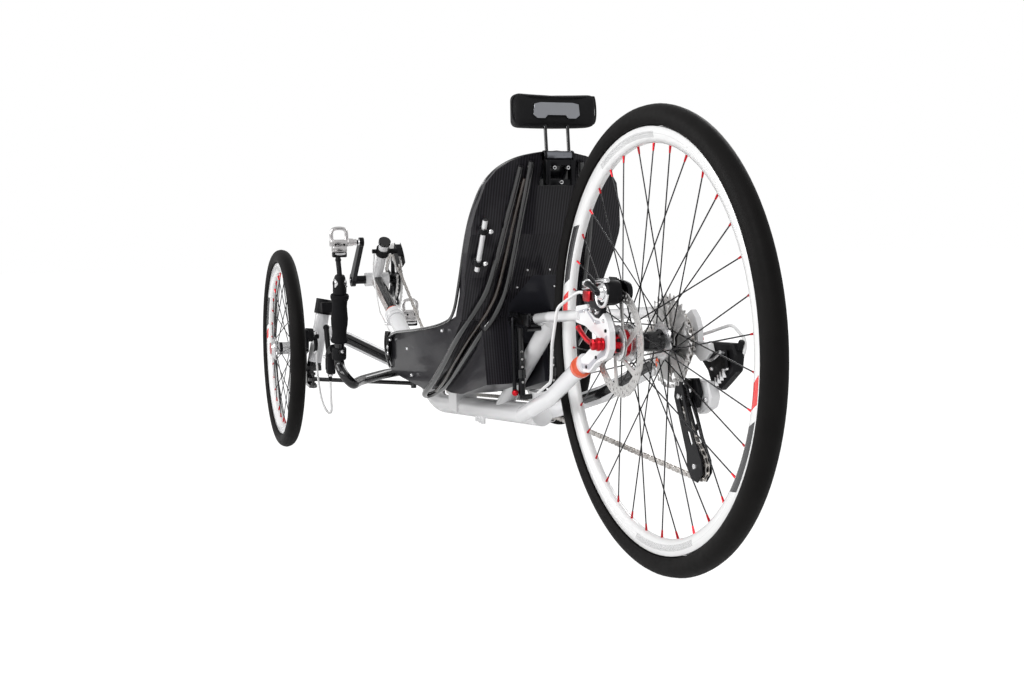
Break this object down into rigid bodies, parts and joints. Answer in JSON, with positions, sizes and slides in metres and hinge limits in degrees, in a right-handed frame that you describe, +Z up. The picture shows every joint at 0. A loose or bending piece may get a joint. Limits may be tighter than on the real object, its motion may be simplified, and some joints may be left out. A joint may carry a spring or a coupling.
{
  "type": "recumbent tadpole tricycle",
  "caption": "Recumbent tricycle with two steered front wheels, one driven rear wheel, a black bucket seat with a headrest and pedals on a boom.",
  "frame": {"origin": "on the ground, midway between the front and rear ends, in the middle plane", "axes": "+Y towards the rear wheel, +X towards the left side of the trike, +Z up; the trike faces -Y"},
  "size_m": [0.7626, 2.224, 0.7505],
  "materials": {
    "frame_white": "gloss",
    "black_paint": "gloss",
    "carbon": "gloss",
    "tyre": "satin",
    "grip_foam": "matte",
    "steel": "brushed",
    "alloy": "satin",
    "black_plastic": "matte",
    "white_plastic": "gloss",
    "red_alloy": "gloss",
    "pad_fabric": "matte"
  },
  "bodies": {
    "frame": {"main_tube": "frame_white", "seat_riser": "frame_white", "upper_stays": "frame_white", "lower_stays": "frame_white", "dropouts": "frame_white", "rear_axle": "red_alloy", "left_cross_arm": "frame_white", "right_cross_arm": "frame_white", "steering_pivot": "black_paint", "crank_housing": "frame_white", "boom": "black_paint", "chain": "steel", "chain_idlers": "black_plastic", "chain_tube": "white_plastic", "rear_derailleur": "black_plastic", "front_derailleur": "black_plastic", "post_cap": "black_paint", "accessory_clamps": "black_paint", "seat_shell": "carbon", "seat_front_bracket": "frame_white", "seat_rear_bracket": "black_paint", "seat_struts": "black_paint", "headrest_pad": "pad_fabric", "headrest_mount": "black_paint", "flag_holder": "alloy", "rear_caliper": "black_plastic", "rear_brake_cable": "white_plastic", "gear_cables": "white_plastic"},
    "steering_bar": {"handlebar": "black_paint", "grips": "grip_foam", "bar_end_shifters": "black_plastic", "brake_levers": "black_plastic"},
    "left_link": {"left_tie_rod": "black_paint"},
    "right_link": {"right_tie_rod": "black_paint"},
    "left_upright": {"left_knuckle": "black_paint", "left_front_caliper": "black_plastic", "left_brake_cable": "white_plastic"},
    "right_upright": {"right_knuckle": "black_paint", "right_front_caliper": "black_plastic", "right_brake_cable": "white_plastic"},
    "left_front_wheel": {"left_front_tyre": "tyre", "left_front_rim": "frame_white", "left_front_hub_and_spokes": "steel", "left_front_brake_rotor": "steel"},
    "right_front_wheel": {"right_front_tyre": "tyre", "right_front_rim": "frame_white", "right_front_hub_and_spokes": "steel", "right_front_brake_rotor": "steel"},
    "rear_wheel": {"rear_tyre": "tyre", "rear_rim": "frame_white", "rear_hub_and_spokes": "steel", "cassette": "steel", "rear_brake_rotor": "steel"},
    "cranks": {"crankset": "black_paint", "chainrings": "alloy"},
    "left_pedal_body": {"left_pedal": "alloy"},
    "right_pedal_body": {"right_pedal": "alloy"}
  },
  "joints": [
    {"name": "bar_steer", "type": "hinge", "parent": "frame", "child": "steering_bar", "pos_m": [0, -0.424, 0.159], "axis": [0, 0, 1], "range_deg": [-16, 16]},
    {"name": "left_steer", "type": "hinge", "parent": "frame", "child": "left_upright", "pos_m": [0.268, -0.488, 0.23795], "axis": [-0.1994, 0, 0.9799], "range_deg": [-20.37, 20.37]},
    {"name": "right_steer", "type": "hinge", "parent": "frame", "child": "right_upright", "pos_m": [-0.268, -0.488, 0.23795], "axis": [0.1994, 0, 0.9799], "range_deg": [-20.37, 20.37]},
    {"name": "left_link_swing", "type": "hinge", "parent": "steering_bar", "child": "left_link", "pos_m": [0.058, -0.372, 0.148], "axis": [0, 0, 1], "range_deg": [-19.57, 19.57]},
    {"name": "right_link_swing", "type": "hinge", "parent": "steering_bar", "child": "right_link", "pos_m": [-0.058, -0.372, 0.148], "axis": [0, 0, 1], "range_deg": [-19.57, 19.57]},
    {"name": "left_front_spin", "type": "hinge", "parent": "left_upright", "child": "left_front_wheel", "pos_m": [0.351, -0.488, 0.23795], "axis": [0.9998, 0, 0.0209], "continuous": true},
    {"name": "right_front_spin", "type": "hinge", "parent": "right_upright", "child": "right_front_wheel", "pos_m": [-0.351, -0.488, 0.23795], "axis": [0.9998, 0, -0.0209], "continuous": true},
    {"name": "rear_spin", "type": "hinge", "parent": "frame", "child": "rear_wheel", "pos_m": [0, 0.766, 0.346], "axis": [1, 0, 0], "continuous": true},
    {"name": "crank_spin", "type": "hinge", "parent": "frame", "child": "cranks", "pos_m": [0, -0.974, 0.377], "axis": [1, 0, 0], "continuous": true},
    {"name": "left_pedal_spin", "type": "hinge", "parent": "cranks", "child": "left_pedal_body", "pos_m": [0.122, -0.85099, 0.48698], "axis": [1, 0, 0], "continuous": true},
    {"name": "right_pedal_spin", "type": "hinge", "parent": "cranks", "child": "right_pedal_body", "pos_m": [-0.122, -1.097, 0.26702], "axis": [1, 0, 0], "continuous": true}
  ],
  "couplings": [
    {"joint": "left_steer", "follows": "bar_steer", "ratio": 1.27},
    {"joint": "right_steer", "follows": "bar_steer", "ratio": 1.27},
    {"joint": "left_link_swing", "follows": "bar_steer", "ratio": -1.22},
    {"joint": "right_link_swing", "follows": "bar_steer", "ratio": -1.22}
  ]
}
